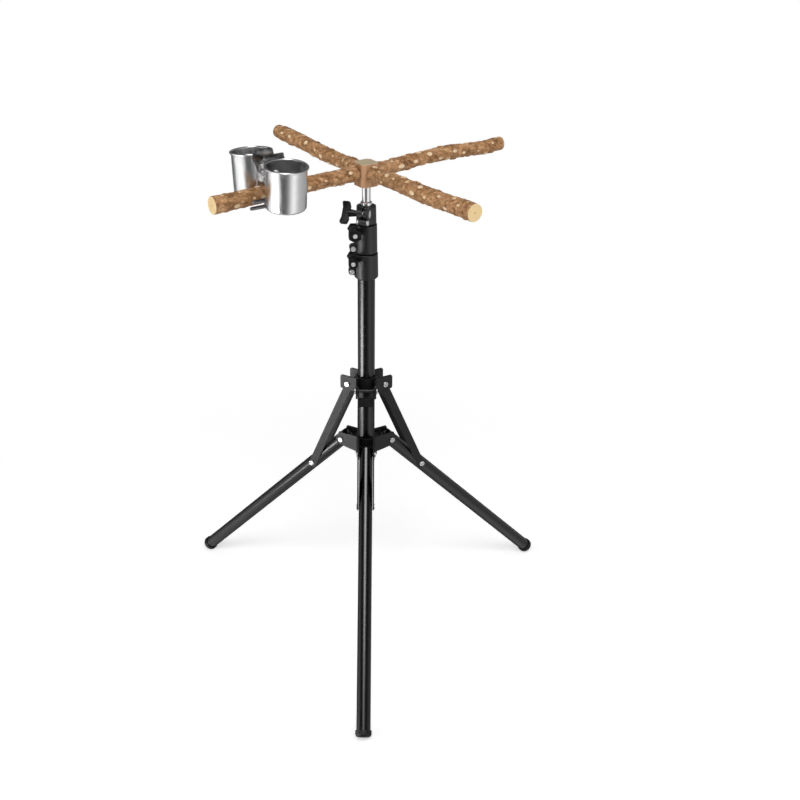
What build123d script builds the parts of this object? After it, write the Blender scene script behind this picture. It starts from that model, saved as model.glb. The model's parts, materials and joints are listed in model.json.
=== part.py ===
from build123d import *
import os
from math import atan2, ceil, cos, degrees, pi, radians, sin, sqrt

os.makedirs("parts", exist_ok=True)

# A bird perch on a folding tripod: a telescoping column on three legs that fold up round it,
# and on its top a wooden block with four branches, one of which carries two clipped cups.
# Sizes are in millimetres. The column stands on Z, the floor is at z = 0, and azimuths turn
# from +X. The finished stand is moved along Y so that the origin lies below its middle.

# Places shared by the whole stand
leg_azimuths = (-90, 30, 150)
branch_azimuth_first = 34.8
branch_azimuth_step = 90
overrun = 1
running_gap = 0.05
sliding_gap = 0.3
side_gap = 0.4
slot_gap = 0.2

# Column tubes, widest first
mast_diameter = 25
lower_tube_diameter = 22
middle_tube_diameter = 19
top_tube_diameter = 16
tube_wall = 1.2
mast_bottom_z = 280
mast_top_z = 583
tail_bush_length = 14
tail_rest_gap = 2
bottom_plug_length = 12
bottom_plug_rim = 1.5
bottom_plug_flange = 2

# Clamp collars: a ring of moulded plastic over the head of each tube but the top one, lowest first
collar_heights = (37, 42.5, 26.5)
collar_overlaps = (18, 17, 11.5)
collar_walls = (4.5, 4.6, 4.7)
collar_draft = 0.6
collar_joint_gap = 0.4
collar_chamfer = 2.2
clamp_slot = 1.8
clamp_lug_reach = 8.4
clamp_lug_radius = 6.2
clamp_lug_half_width = 7.5
clamp_boss_radius = 8.2
clamp_boss_height = 2.2
clamp_bolt_drops = (7.6, 9, 7.4)
fixing_screw_rises = (10.5, 8, 6.5)
fixing_lug_radius = 5
fixing_lug_half_width = 5.5
clamp_screw_diameter = 6
fixing_screw_diameter = 4
nut_across_flats = 10
nut_height = 5
fixing_head_diameter = 7
fixing_head_height = 2.6
collar_lug_azimuths = (183, 186, 255)
collar_knob_sides = (1, 1, -1)

# Knobs that tighten the collars: two with a lobed grip, and at the top one with wings
lobed_grip_radii = (7.6, 10)
lobed_grip_thickness = 9
lobed_grip_round = 3
knob_screw_show = 0.8
knob_span = 32
knob_wing_depth = 13
knob_wing_turn = 38
knob_neck_diameter = 7.6
knob_stem_diameter = 11
knob_stem_lengths = (10, 10, 11)
knob_thickness = 7
knob_waist_share = 0.42
knob_round = 2.2
knob_seat_gap = 0.2

# Stay bracket, which slides on the mast
slider_pivot_radius = 24
slider_ring_wall = 3
slider_ring_rise = 15
slider_ring_drop = 16
slider_ear_rise = 13
slider_ear_drop = 8.5
slider_ear_reach = 12
slider_ear_thickness = 2.4
ear_corner = 3
pivot_pin_diameter = 5
pin_head_diameter = 8.4
pin_head_height = 2

# Leg bracket, fixed at the foot of the mast
leg_pivot_radius = 38
leg_pivot_z = 298
leg_ring_wall = 3.7
leg_ring_rise = 13
leg_ring_drop = 18
leg_ear_thickness = 2.5
leg_ear_radius = 8
leg_ear_crest = 3
leg_ear_rise = 13
leg_ear_root_drop = 13
leg_ear_waist_share = 0.55
arm_block_reach = 23.5

# Legs and feet
leg_diameter = 20
foot_centre_radius = 318
foot_centre_z = 8
stay_pivot_along_leg = 79
leg_head = 8
foot_pad_length = 8.7
foot_cap_wall = 1.5
foot_lip = 8
foot_end_round = 5
foot_flat_depth = 0.5

# Stays: two side plates joined by a short web, with their pins nearer the outer edge
stay_length = 170
stay_thickness = 2
stay_half_width = 6
stay_pin_offset = 1.5
stay_web_start = 146
stay_web_stop = 10
stay_rivet_diameter = 5
stay_rivet_head_diameter = 8
stay_rivet_head_height = 1.5

# Post and perch block
post_diameter = 12
post_base_diameter = 16
post_base_height = 6
post_shoulder = 1.2
post_rise = 26.5
post_washer_diameter = 15
post_washer_height = 2.3
stud_diameter = 8
stud_length = 22
block_width = 28
block_height = 32
block_chamfer = 5
block_edge = 0.8
dowel_screw_diameter = 6
dowel_screw_in_block = 8
dowel_screw_in_branch = 18

# Branches: the height of their axis above the block's foot, of each tip above that axis, and
# the thickness at each end
branch_axis_rise = 18.3
branch_reach = 236
branch_tip_rises = (5, 7, -6.5, 4)
branch_root_radii = (10.3, 10.3, 10.3, 10.3)
branch_tip_radii = (9.6, 10.6, 11.8, 11.4)
branch_station_shares = (0, 0.09, 0.24, 0.4, 0.56, 0.72, 0.86, 1)
branch_girth_shares = (
    (1, 0.96, 0.99, 0.93, 1.02, 0.96, 0.99, 1),
    (1, 1.02, 0.97, 1.03, 0.98, 1.03, 1.01, 0.92),
    (1, 1, 0.97, 0.99, 0.98, 0.98, 0.98, 1),
    (1, 0.97, 1.02, 0.98, 1.04, 0.98, 1.01, 1),
)
branch_side_shares = (
    (0, 0, 0.07, 0.14, 0.08, -0.04, -0.08, 0),
    (0, 0, -0.05, 0.02, 0.1, 0.12, 0.05, 0),
    (0, 0, 0.03, 0.02, 0, 0, 0, 0),
    (0, 0, -0.06, -0.1, 0.02, 0.1, 0.07, 0),
)
branch_rise_shares = (
    (0, 0, 0.04, 0.1, 0.14, 0.06, -0.02, 0),
    (0, 0, -0.08, -0.06, 0.04, 0.08, 0.06, 0),
    (0, 0, 0.02, 0.02, 0, 0, 0, 0),
    (0, 0, 0.08, 0.04, -0.06, -0.08, -0.02, 0),
)
branch_carries_cups = (False, False, True, False)

# Clip and cups, drawn upright and then turned about the clip's pin until the jaws close
clip_station = 152
clip_pin_rise = 21
clip_tilt = 4.7
clip_thickness = 1.2
clip_pin_diameter = 4
clip_pin_head_diameter = 6
clip_pin_head_height = 1.2
clip_plate_corner = 3
clip_jaw_gap = 0.35
clip_jaw_sweep = 50
clip_lip_run = 5.2
clip_handle_top = 56
clip_handle_throat = 50
clip_handle_throat_side = 11
clip_shoulder = 42
clip_outline_heights = (56, 46, 37, 29, 12, 3, -17)
clip_outline_half_widths = (14, 16.5, 11, 9.4, 9.4, 12.5, 13)
clip_outline_round = 2.5
clip_ear_inner_half = 7
clip_ear_radius = 4.2
clip_ear_drop = 6
clip_ear_rise = 7
cup_radius = 26.75
cup_height = 57
cup_wall = 0.8
cup_rim_rise = 50.3
cup_corner = 4
cup_rim_bead = 1.5
cup_rivet_rises = (33, 24)
cup_rivet_diameter = 4
cup_rivet_head_diameter = 6.4
cup_rivet_head_height = 1.4
spring_wire = 1.4
spring_mean_radius = 3.7
spring_pitch = 2.1
spring_whole_turns = 4
spring_arm_length = 21.5
spring_arm_lean = 35


def turned(profile):
    """A solid turned about Z from an outline of (radius, height) points."""
    return revolve(Plane.XZ * polygon(*profile), Axis.Z)


stand_on = (Align.CENTER, Align.CENTER, Align.MIN)


def rod(radius, start, end):
    """A round bar along Z between two heights."""
    return Pos(0, 0, start) * Cylinder(radius, end - start, align=stand_on)


def pipe(outer_radius, inner_radius, start, end):
    """A round tube along Z between two heights."""
    return rod(outer_radius, start, end) - rod(inner_radius, start - overrun, end + overrun)


def cross_rod(radius, x, z, half_length):
    """A round bar across a leg's plane, with its middle in that plane."""
    return Pos(x, 0, z) * Rot(90, 0, 0) * Cylinder(radius, half_length + half_length)


def slab(outline, half_width):
    """A plate whose outline is drawn in the X and Z plane, with its middle in that plane."""
    return extrude(Plane.XZ * outline, amount=half_width, both=True)


def slab_between(outline, inner, outer):
    """A plate like slab, but only between two distances along +Y."""
    return extrude(Plane.XZ.offset(-inner) * outline, amount=inner - outer)


def polygon(*points):
    return make_face(Polyline(*points, close=True))


def round_hull(first, first_radius, second, second_radius):
    """The outline round two circles and between them."""
    return make_hull((Pos(*first) * Circle(first_radius) + Pos(*second) * Circle(second_radius)).edges())


def hexagon(across_flats, height):
    return extrude(RegularPolygon(across_flats / 2, 6, major_radius=False), amount=height)


def by_azimuth(shape, azimuth):
    return Rot(0, 0, azimuth) * shape


# Places worked out from the driving sizes
collar_levels = [mast_top_z - collar_overlaps[0]]
for height in collar_heights:
    collar_levels.append(collar_levels[-1] + height)
tube_tops = [level + overlap for level, overlap in zip(collar_levels, collar_overlaps)]
top_tube_top_z = collar_levels[-1]
post_top_z = top_tube_top_z + post_rise
block_bottom_z = post_top_z + post_washer_height + slot_gap
branch_axis_z = block_bottom_z + branch_axis_rise
mast_radius = mast_diameter / 2
leg_radius = leg_diameter / 2
pin_radius = pivot_pin_diameter / 2
leg_drop_angle = atan2(leg_pivot_z - foot_centre_z, foot_centre_radius - leg_pivot_radius)
leg_cos = cos(leg_drop_angle)
leg_sin = sin(leg_drop_angle)
stay_foot_radius = leg_pivot_radius + stay_pivot_along_leg * leg_cos
stay_foot_z = leg_pivot_z - stay_pivot_along_leg * leg_sin
stay_run = stay_foot_radius - slider_pivot_radius
slider_pivot_z = stay_foot_z + sqrt(stay_length * stay_length - stay_run * stay_run)
stay_angle = atan2(slider_pivot_z - stay_foot_z, -stay_run)
folded_run = leg_pivot_radius - slider_pivot_radius
folded_rise = sqrt(stay_length * stay_length - folded_run * folded_run)
folded_slider_z = leg_pivot_z + stay_pivot_along_leg + folded_rise
fold_degrees = 90 + degrees(leg_drop_angle)
folded_stay_angle = atan2(folded_rise, -folded_run)

# The flanges of a stay pass on either side of its leg, and the slider's ears outside them
stay_inner_half = leg_radius + side_gap
stay_outer_half = stay_inner_half + stay_thickness
slider_ear_inner = stay_outer_half + slot_gap
slider_ear_outer = slider_ear_inner + slider_ear_thickness
leg_ear_inner = leg_radius + sliding_gap
leg_ear_outer = leg_ear_inner + leg_ear_thickness

nodes = {}


# Column tubes
def telescoping_tube(name, diameter, bottom, top):
    nodes[name] = pipe(diameter / 2, diameter / 2 - tube_wall, bottom, top)


tail_step = tail_bush_length + tail_rest_gap + bottom_plug_flange
lower_tube_bottom_z = mast_bottom_z + bottom_plug_length + tail_rest_gap + bottom_plug_flange
middle_tube_bottom_z = lower_tube_bottom_z + tail_step
top_tube_bottom_z = middle_tube_bottom_z + tail_step
telescoping_tube("mast_tube", mast_diameter, mast_bottom_z, mast_top_z)
telescoping_tube("lower_tube", lower_tube_diameter, lower_tube_bottom_z, tube_tops[1])
telescoping_tube("middle_tube", middle_tube_diameter, middle_tube_bottom_z, tube_tops[2])
telescoping_tube("top_tube", top_tube_diameter, top_tube_bottom_z, top_tube_top_z)


# Tail bushes: plugs with a rim that close the lower end of each sliding tube
def tail_bush(name, diameter, bottom):
    inner = diameter / 2 - tube_wall
    plug = rod(inner, bottom, bottom + tail_bush_length)
    low = bottom - bottom_plug_flange
    rim = rod(diameter / 2, low, bottom)
    nodes[name] = plug + rim - rod(inner - tube_wall, low - overrun, bottom + tail_bush_length + overrun)


tail_bush("lower_tube_bush", lower_tube_diameter, lower_tube_bottom_z)
tail_bush("middle_tube_bush", middle_tube_diameter, middle_tube_bottom_z)
tail_bush("top_tube_bush", top_tube_diameter, top_tube_bottom_z)

plug_radius = mast_radius - tube_wall
mast_plug_rim = rod(mast_radius + bottom_plug_rim, mast_bottom_z - bottom_plug_flange, mast_bottom_z)
nodes["mast_plug"] = mast_plug_rim + rod(plug_radius, mast_bottom_z, mast_bottom_z + bottom_plug_length)


# Clamp collars
def clamp_collar(i):
    """A split ring, its lugs, and the nut and screw that they hold."""
    label = collar_labels[i]
    radius = column_diameters[i] / 2 + collar_walls[i]
    low = collar_levels[i] + collar_joint_gap / 2
    high = collar_levels[i + 1] - collar_joint_gap / 2
    seat = column_diameters[i] / 2
    grip = column_diameters[i + 1] / 2 + sliding_gap
    tube_top = tube_tops[i]
    shell = turned(
        [
            (seat, low),
            (radius - collar_chamfer, low),
            (radius, low + collar_chamfer),
            (radius - collar_draft, high - collar_joint_gap),
            (radius - collar_draft - collar_joint_gap, high),
            (grip, high),
            (grip, tube_top),
            (seat, tube_top),
        ]
    )
    reach = radius + clamp_lug_reach
    bolt_z = high - clamp_bolt_drops[i]
    screw_z = low + fixing_screw_rises[i]
    lug_x = reach - clamp_lug_radius
    fixing_x = reach - fixing_lug_radius
    lug_outline = round_hull((seat, bolt_z), clamp_lug_radius, (lug_x, bolt_z), clamp_lug_radius)
    lug = slab(lug_outline, clamp_lug_half_width)
    boss_face = clamp_lug_half_width + clamp_boss_height
    boss_outline = Pos(lug_x, bolt_z) * RegularPolygon(clamp_boss_radius, 6)
    boss = slab_between(boss_outline, clamp_lug_half_width - overrun, boss_face)
    fixing_outline = round_hull(
        (seat, screw_z), fixing_lug_radius, (fixing_x, screw_z), fixing_lug_radius
    )
    fixing = slab(fixing_outline, fixing_lug_half_width)
    bore = rod(seat, low - overrun, tube_top) + rod(grip, tube_top, high + overrun)
    slot_bottom = screw_z + fixing_lug_radius + collar_joint_gap
    slot = Pos(reach, 0, slot_bottom) * Box(
        reach + reach, clamp_slot, reach + high - slot_bottom, align=stand_on
    )
    screw_bore = cross_rod(clamp_screw_diameter / 2 + running_gap, lug_x, bolt_z, boss_face + overrun)
    nut_place = Pos(lug_x, boss_face - nut_height, bolt_z) * Rot(-90, 0, 0)
    nut_pocket = nut_place * hexagon(nut_across_flats + running_gap + running_gap, nut_height + overrun)
    fixing_bore = cross_rod(fixing_screw_diameter / 2 + running_gap, fixing_x, screw_z, boss_face)
    collar = shell + (lug + boss + fixing - bore) - slot - screw_bore - nut_pocket - fixing_bore
    nodes["collar_" + label] = collar_place(collar, i)

    nut = nut_place * hexagon(nut_across_flats, nut_height) - screw_bore
    screw = cross_rod(fixing_screw_diameter / 2, fixing_x, screw_z, fixing_lug_half_width)
    for side in (1, -1):
        head_y = side * (fixing_lug_half_width + fixing_head_height / 2)
        head = Pos(fixing_x, head_y, screw_z) * Rot(90, 0, 0)
        screw += head * Cylinder(fixing_head_diameter / 2, fixing_head_height)
    nodes["collar_" + label + "_fasteners"] = Compound([collar_place(nut, i), collar_place(screw, i)])
    knob(i, lug_x, bolt_z, boss_face)


def collar_place(shape, i):
    """Turns a collar's piece to its azimuth, with the knob on its left or right side."""
    if collar_knob_sides[i] > 0:
        shape = mirror(shape, about=Plane.XZ)
    return by_azimuth(shape, collar_lug_azimuths[i])


def wing_grip(wing_start, end):
    """The two wings of the upper knob, along X."""
    span = knob_span / 2
    waist = knob_stem_diameter / 2 * knob_waist_share
    outline = polygon(
        (0, wing_start + waist),
        (span - knob_thickness, wing_start),
        (span, wing_start + waist),
        (span, end),
        (span * knob_waist_share, end - waist),
        (-span * knob_waist_share, end - waist),
        (-span, end),
        (-span, wing_start + waist),
        (-span + knob_thickness, wing_start),
    )
    wings = slab(fillet(outline.vertices(), knob_round), knob_thickness / 2)
    wings = fillet(wings.edges().filter_by(GeomType.LINE).filter_by(Axis.Z), knob_round / 2)
    return wings + rod(knob_stem_diameter / 2, wing_start, wing_start + waist)


def lobed_grip(radius, start, end):
    """A six-sided grip with round corners."""
    outline = RegularPolygon(radius, 6)
    grip = extrude(fillet(outline.vertices(), lobed_grip_round), amount=end - start)
    grip = fillet(grip.faces().sort_by(Axis.Z)[-1].edges(), knob_round / 2)
    return Pos(0, 0, start) * grip


def knob(i, x, z, nut_face):
    """A moulded knob on the far side of a collar's lugs from the nut, and the screw that it turns."""
    label = collar_labels[i]
    start = clamp_lug_half_width + knob_seat_gap
    stem_length = knob_stem_lengths[i]
    grip_start = start + stem_length
    shank_radius = clamp_screw_diameter / 2
    stem = Pos(0, 0, (start + grip_start) / 2) * Cone(
        knob_neck_diameter / 2, knob_stem_diameter / 2, stem_length
    )
    if i < len(lobed_grip_radii):
        grip_end = grip_start + lobed_grip_thickness
        screw_end = grip_end + knob_screw_show
        head = stem + lobed_grip(lobed_grip_radii[i], grip_start, grip_end)
    else:
        screw_end = grip_start
        head = stem + Rot(0, 0, knob_wing_turn) * wing_grip(grip_start, grip_start + knob_wing_depth)
    shank = rod(shank_radius, -nut_face, screw_end)
    place = Pos(x, 0, z) * Rot(90, 0, 0) * Rot(0, 0, 90)
    nodes["knob_" + label] = collar_place(place * (head - shank), i)
    nodes["knob_" + label + "_screw"] = collar_place(place * shank, i)
    tips = [place * Pos(0, 0, height) * Sphere(shank_radius) for height in (0, nut_face)]
    knob_ends[label] = [collar_place(tip, i).center() for tip in tips]


knob_ends = {}
collar_labels = ("lower", "middle", "upper")
column_diameters = (mast_diameter, lower_tube_diameter, middle_tube_diameter, top_tube_diameter)
for i in range(len(collar_labels)):
    clamp_collar(i)


# Stay bracket on the mast
def stay_bracket():
    low = slider_pivot_z - slider_ring_drop
    high = slider_pivot_z + slider_ring_rise
    bracket = rod(mast_radius + slider_ring_wall, low, high)
    ear_outline = polygon(
        (0, slider_pivot_z - slider_ear_drop),
        (slider_pivot_radius + slider_ear_reach, slider_pivot_z - slider_ear_drop),
        (slider_pivot_radius + slider_ear_reach, slider_pivot_z + slider_ear_rise),
        (0, slider_pivot_z + slider_ear_rise),
    )
    outer_corners = ear_outline.vertices().group_by(Axis.X)[-1]
    ear_outline = fillet(outer_corners, ear_corner)
    ears = slab(ear_outline, slider_ear_outer) - slab(ear_outline, slider_ear_inner)
    bore_half = slider_ear_outer + overrun
    pin_bore = cross_rod(pin_radius + running_gap, slider_pivot_radius, slider_pivot_z, bore_half)
    for azimuth in leg_azimuths:
        bracket += by_azimuth(ears, azimuth)
    bracket -= rod(mast_radius + sliding_gap, low - overrun, high + overrun)
    for azimuth in leg_azimuths:
        bracket -= by_azimuth(pin_bore, azimuth)
    return bracket


# Leg bracket at the foot of the mast
def leg_bracket():
    low = leg_pivot_z - leg_ring_drop
    high = leg_pivot_z + leg_ring_rise
    bracket = rod(mast_radius + leg_ring_wall, low, high)
    ear_end = Pos(leg_pivot_radius, leg_pivot_z) * Circle(leg_ear_radius)
    waist_x = leg_pivot_radius * leg_ear_waist_share
    waist_z = leg_pivot_z - (leg_ear_radius + leg_ear_root_drop) * leg_ear_waist_share
    root_top = (0, leg_pivot_z + leg_ear_rise)
    root_bottom = (0, leg_pivot_z - leg_ear_root_drop)
    crest = (leg_pivot_radius + leg_ear_crest, leg_pivot_z + leg_ear_rise)
    end_side = (leg_pivot_radius + leg_ear_radius, leg_pivot_z)
    end_bottom = (leg_pivot_radius, leg_pivot_z - leg_ear_radius)
    underside = ThreePointArc(end_bottom, (waist_x, waist_z + sliding_gap), root_bottom)
    upper = Polyline(root_bottom, root_top, crest, end_side, end_bottom)
    arm_outline = make_face([*upper.edges(), underside])
    ear_outline = arm_outline + ear_end
    ears = slab(ear_outline, leg_ear_outer) - slab(ear_outline, leg_ear_inner)
    block_outline = polygon(
        (0, leg_pivot_z - leg_ear_root_drop),
        (arm_block_reach, leg_pivot_z - leg_ear_root_drop + leg_ear_thickness),
        (arm_block_reach, leg_pivot_z + leg_ear_thickness),
        (0, leg_pivot_z + leg_ear_thickness),
    )
    block = slab(block_outline, leg_ear_inner + overrun)
    pin_bore = cross_rod(pin_radius, leg_pivot_radius, leg_pivot_z, leg_ear_outer + overrun)
    for azimuth in leg_azimuths:
        bracket += by_azimuth(ears + block, azimuth)
    bracket -= rod(mast_radius, low - overrun, high + overrun)
    for azimuth in leg_azimuths:
        bracket -= by_azimuth(pin_bore, azimuth)
    return bracket


def pivot_pin(x, z, ear_outer):
    """A pin with a round head outside each ear."""
    pin = cross_rod(pin_radius, x, z, ear_outer)
    for side in (1, -1):
        seat = Pos(x, side * (ear_outer + pin_head_height / 2), z) * Rot(90 * side, 0, 0)
        head = Cylinder(pin_head_diameter / 2, pin_head_height)
        head = fillet(head.edges().group_by(Axis.Z)[0], pin_head_height / 2)
        pin += seat * head
    return pin


nodes["stay_bracket"] = stay_bracket()
nodes["leg_bracket"] = leg_bracket()
stay_pin = pivot_pin(slider_pivot_radius, slider_pivot_z, slider_ear_outer)
leg_pin = pivot_pin(leg_pivot_radius, leg_pivot_z, leg_ear_outer)
nodes["stay_bracket_pins"] = Compound([by_azimuth(stay_pin, a) for a in leg_azimuths])
nodes["leg_pins"] = Compound([by_azimuth(leg_pin, a) for a in leg_azimuths])


# Legs and their foot caps, drawn along Z from the pivot and then swung down
foot_cap_radius = leg_radius + foot_cap_wall
foot_round_centre = foot_cap_radius - foot_end_round
foot_round_along = (leg_pivot_z + foot_flat_depth - foot_end_round - foot_round_centre * leg_cos) / leg_sin
foot_end = foot_round_along + foot_end_round
leg_tube_end = foot_end - foot_pad_length
leg_place = Pos(leg_pivot_radius, 0, leg_pivot_z) * Rot(0, 90 + degrees(leg_drop_angle), 0)
leg_tube = pipe(leg_radius, leg_radius - tube_wall, -leg_head, leg_tube_end)
leg_tube -= cross_rod(pin_radius + running_gap, 0, 0, leg_radius + overrun)
cap_outline = polygon(
    (0, leg_tube_end),
    (leg_radius, leg_tube_end),
    (leg_radius, leg_tube_end - foot_lip),
    (foot_cap_radius, leg_tube_end - foot_lip),
    (foot_cap_radius, foot_end),
    (0, foot_end),
)
cap_corner = cap_outline.vertices().sort_by_distance((foot_cap_radius, foot_end))[0]
cap_outline = fillet(cap_corner, foot_end_round)
foot_cap = revolve(Plane.XZ * cap_outline, Axis.Z)
leg = leg_place * leg_tube
foot = leg_place * foot_cap
floor_cut = Box(foot_end, foot_end, foot_end, align=(Align.CENTER, Align.CENTER, Align.MAX))
foot -= Pos(foot_centre_radius, 0, 0) * floor_cut


# Stays: open to the outside, where the folded leg lies between their side plates
def along_stay(along, out):
    """A point on a stay, from its foot along it, and outwards from its centre line."""
    x = stay_foot_radius + along * cos(stay_angle) + out * sin(stay_angle)
    z = stay_foot_z + along * sin(stay_angle) - out * cos(stay_angle)
    return (x, z)


def stay_channel():
    outer_edge = stay_half_width - stay_pin_offset
    inner_edge = outer_edge - stay_half_width - stay_half_width
    web_face = inner_edge + stay_thickness
    web_stop = stay_length - stay_web_stop
    past = stay_half_width + overrun
    plate = polygon(
        along_stay(0, outer_edge),
        along_stay(stay_length, outer_edge),
        along_stay(stay_length, inner_edge),
        along_stay(0, inner_edge),
    )
    for along in (0, stay_length):
        plate += Pos(*along_stay(along, -stay_pin_offset)) * Circle(stay_half_width)
    inside = polygon(
        along_stay(-past, past),
        along_stay(stay_length + past, past),
        along_stay(stay_length + past, inner_edge - overrun),
        along_stay(web_stop, inner_edge - overrun),
        along_stay(web_stop, web_face),
        along_stay(stay_web_start, web_face),
        along_stay(stay_web_start, inner_edge - overrun),
        along_stay(-past, inner_edge - overrun),
    )
    channel = slab(plate, stay_outer_half) - slab(inside, stay_inner_half)
    foot_x, foot_z = along_stay(0, 0)
    bore_half = stay_outer_half + overrun
    channel -= cross_rod(stay_rivet_diameter / 2, foot_x, foot_z, bore_half)
    channel -= cross_rod(pin_radius + running_gap, slider_pivot_radius, slider_pivot_z, bore_half)
    return channel


def stay_rivet(side):
    """A short rivet through one flange, whose head shows outside it."""
    shank = rod(stay_rivet_diameter / 2, stay_inner_half, stay_outer_half)
    head = rod(stay_rivet_head_diameter / 2, stay_outer_half, stay_outer_half + stay_rivet_head_height)
    head = fillet(head.edges().group_by(Axis.Z)[-1], stay_rivet_head_height / 2)
    foot_x, foot_z = along_stay(0, 0)
    return Pos(foot_x, 0, foot_z) * Rot(-90 * side, 0, 0) * (shank + head)


stay = stay_channel()
stay_rivets = [stay_rivet(side) for side in (1, -1)]
for number, azimuth in enumerate(leg_azimuths, 1):
    nodes[f"leg_{number}"] = by_azimuth(leg, azimuth)
    nodes[f"foot_{number}"] = by_azimuth(foot, azimuth)
    nodes[f"stay_{number}"] = by_azimuth(stay, azimuth)
    nodes[f"stay_rivets_{number}"] = Compound([by_azimuth(r, azimuth) for r in stay_rivets])

# Post on the top tube, with a washer and a stud on which the perch block turns
post_base_z = top_tube_top_z
stud_top_z = block_bottom_z + stud_length
post_profile = [
    (0, post_base_z - tail_bush_length),
    (top_tube_diameter / 2 - tube_wall, post_base_z - tail_bush_length),
    (top_tube_diameter / 2 - tube_wall, post_base_z),
    (post_base_diameter / 2, post_base_z),
    (post_base_diameter / 2, post_base_z + post_base_height - post_shoulder),
    (post_base_diameter / 2 - post_shoulder, post_base_z + post_base_height),
    (post_diameter / 2, post_base_z + post_base_height),
    (post_diameter / 2, post_top_z),
    (stud_diameter / 2, post_top_z),
    (stud_diameter / 2, stud_top_z),
    (0, stud_top_z),
]
nodes["post"] = turned(post_profile)
nodes["post_washer"] = pipe(
    post_washer_diameter / 2, stud_diameter / 2, post_top_z, post_top_z + post_washer_height
)

# Perch block with its chamfered corners and the bores for its screws
block_outline = chamfer(Rectangle(block_width, block_width).vertices(), block_chamfer)
block = extrude(block_outline, amount=block_height)
block = chamfer(block.faces().sort_by(Axis.Z)[-1].edges(), block_edge)
block = Pos(0, 0, block_bottom_z) * Rot(0, 0, branch_azimuth_first) * block
block -= rod(stud_diameter / 2 + running_gap, block_bottom_z - overrun, stud_top_z + overrun)
block_half = block_width / 2
dowel_bore = Pos(0, 0, branch_axis_z) * Rot(0, 90, 0) * rod(
    dowel_screw_diameter / 2, block_half - dowel_screw_in_block, block_half + dowel_screw_in_branch
)
branch_azimuths = [branch_azimuth_first + branch_azimuth_step * i for i in range(len(branch_tip_rises))]
for azimuth in branch_azimuths:
    block -= by_azimuth(dowel_bore, azimuth)
nodes["perch_block"] = block
nodes["branch_screws"] = Compound([by_azimuth(dowel_bore, a) for a in branch_azimuths])


# Branches: natural limbs that wander a little from a straight line
def branch(number):
    root_radius = branch_root_radii[number]
    tip_radius = branch_tip_radii[number]
    run = branch_reach - block_half
    circles = []
    for k, share in enumerate(branch_station_shares):
        radius = (root_radius + (tip_radius - root_radius) * share) * branch_girth_shares[number][k]
        side = branch_side_shares[number][k] * (root_radius + tip_radius)
        rise = branch_rise_shares[number][k] * (root_radius + tip_radius) + branch_tip_rises[number] * share
        place = Plane(origin=(block_half + run * share, side, branch_axis_z + rise), z_dir=(1, 0, 0))
        circles.append(place * Circle(radius))
    limb = loft(circles)
    return by_azimuth(limb - dowel_bore, branch_azimuths[number])


for number in range(len(branch_azimuths)):
    nodes[f"branch_{number + 1}"] = branch(number)

# Clip frame: X out along the branch, Y across it, Z up from its axis
clip_share = (clip_station - block_half) / (branch_reach - block_half)
cup_branch = branch_carries_cups.index(True)
clip_axis_z = branch_axis_z + branch_tip_rises[cup_branch] * clip_share
clip_azimuth = branch_azimuths[cup_branch]
clip_place = Rot(0, 0, clip_azimuth) * Pos(clip_station, 0, clip_axis_z)
cup_branch_radius = branch_root_radii[cup_branch] + (
    branch_tip_radii[cup_branch] - branch_root_radii[cup_branch]
) * clip_share
tilt = radians(clip_tilt)
jaw_centre_side = clip_pin_rise * sin(tilt)
jaw_centre_rise = clip_pin_rise * (1 - cos(tilt))
jaw_radius = cup_branch_radius + clip_jaw_gap + clip_thickness / 2
plate_side = jaw_centre_side + jaw_radius + clip_ear_radius / 2
cup_axis_side = plate_side + clip_thickness / 2 + cup_radius
ear_gap = slot_gap


def cup_rivet_bore(rise):
    return Pos(0, plate_side, rise) * Rot(90, 0, 0) * Cylinder(cup_rivet_diameter / 2, jaw_radius)


def clip_plate(ear_inner):
    """One pressed half of the clip, upright: handle, shoulder, ears for the pin, and jaw."""
    jaw_end = radians(clip_jaw_sweep)
    jaw_x = jaw_centre_side + jaw_radius * cos(jaw_end)
    jaw_z = jaw_centre_rise - jaw_radius * sin(jaw_end)
    lip = (jaw_x + clip_lip_run * sin(jaw_end), jaw_z - clip_lip_run * cos(jaw_end))
    jaw_top = (jaw_centre_side + jaw_radius, jaw_centre_rise)
    upper = FilletPolyline(
        (clip_handle_throat_side + clip_thickness, clip_handle_top),
        (clip_handle_throat_side, clip_handle_throat),
        (plate_side, clip_shoulder),
        (plate_side, jaw_centre_rise + clip_ear_rise),
        jaw_top,
        radius=clip_plate_corner,
    )
    jaw = ThreePointArc(
        jaw_top,
        (jaw_centre_side + jaw_radius * cos(jaw_end / 2), jaw_centre_rise - jaw_radius * sin(jaw_end / 2)),
        (jaw_x, jaw_z),
    )
    section = trace([*upper.edges(), jaw, Line((jaw_x, jaw_z), lip)], line_width=clip_thickness)
    half_width = max(clip_outline_half_widths)
    strip = extrude(Plane.YZ * section, amount=half_width, both=True)
    right = [(w, h) for w, h in zip(clip_outline_half_widths, clip_outline_heights)]
    left = [(-w, h) for w, h in reversed(right)]
    outline = fillet(polygon(*right, *left).vertices(), clip_outline_round)
    plate = strip & slab(outline, plate_side + cup_radius)
    ear = polygon(
        (0, clip_pin_rise - clip_ear_radius),
        (plate_side, clip_pin_rise - clip_ear_drop),
        (plate_side, clip_pin_rise + clip_ear_rise),
        (0, clip_pin_rise + clip_ear_radius),
    )
    ear += Pos(0, clip_pin_rise) * Circle(clip_ear_radius)
    ear -= Pos(0, clip_pin_rise) * Circle(clip_pin_diameter / 2 + running_gap)
    for side in (1, -1):
        edges = sorted((side * ear_inner, side * (ear_inner + clip_thickness)))
        plate += extrude(Plane.YZ.offset(edges[0]) * ear, amount=edges[1] - edges[0])
    for rise in cup_rivet_rises:
        plate -= cup_rivet_bore(rise)
    return plate


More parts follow.
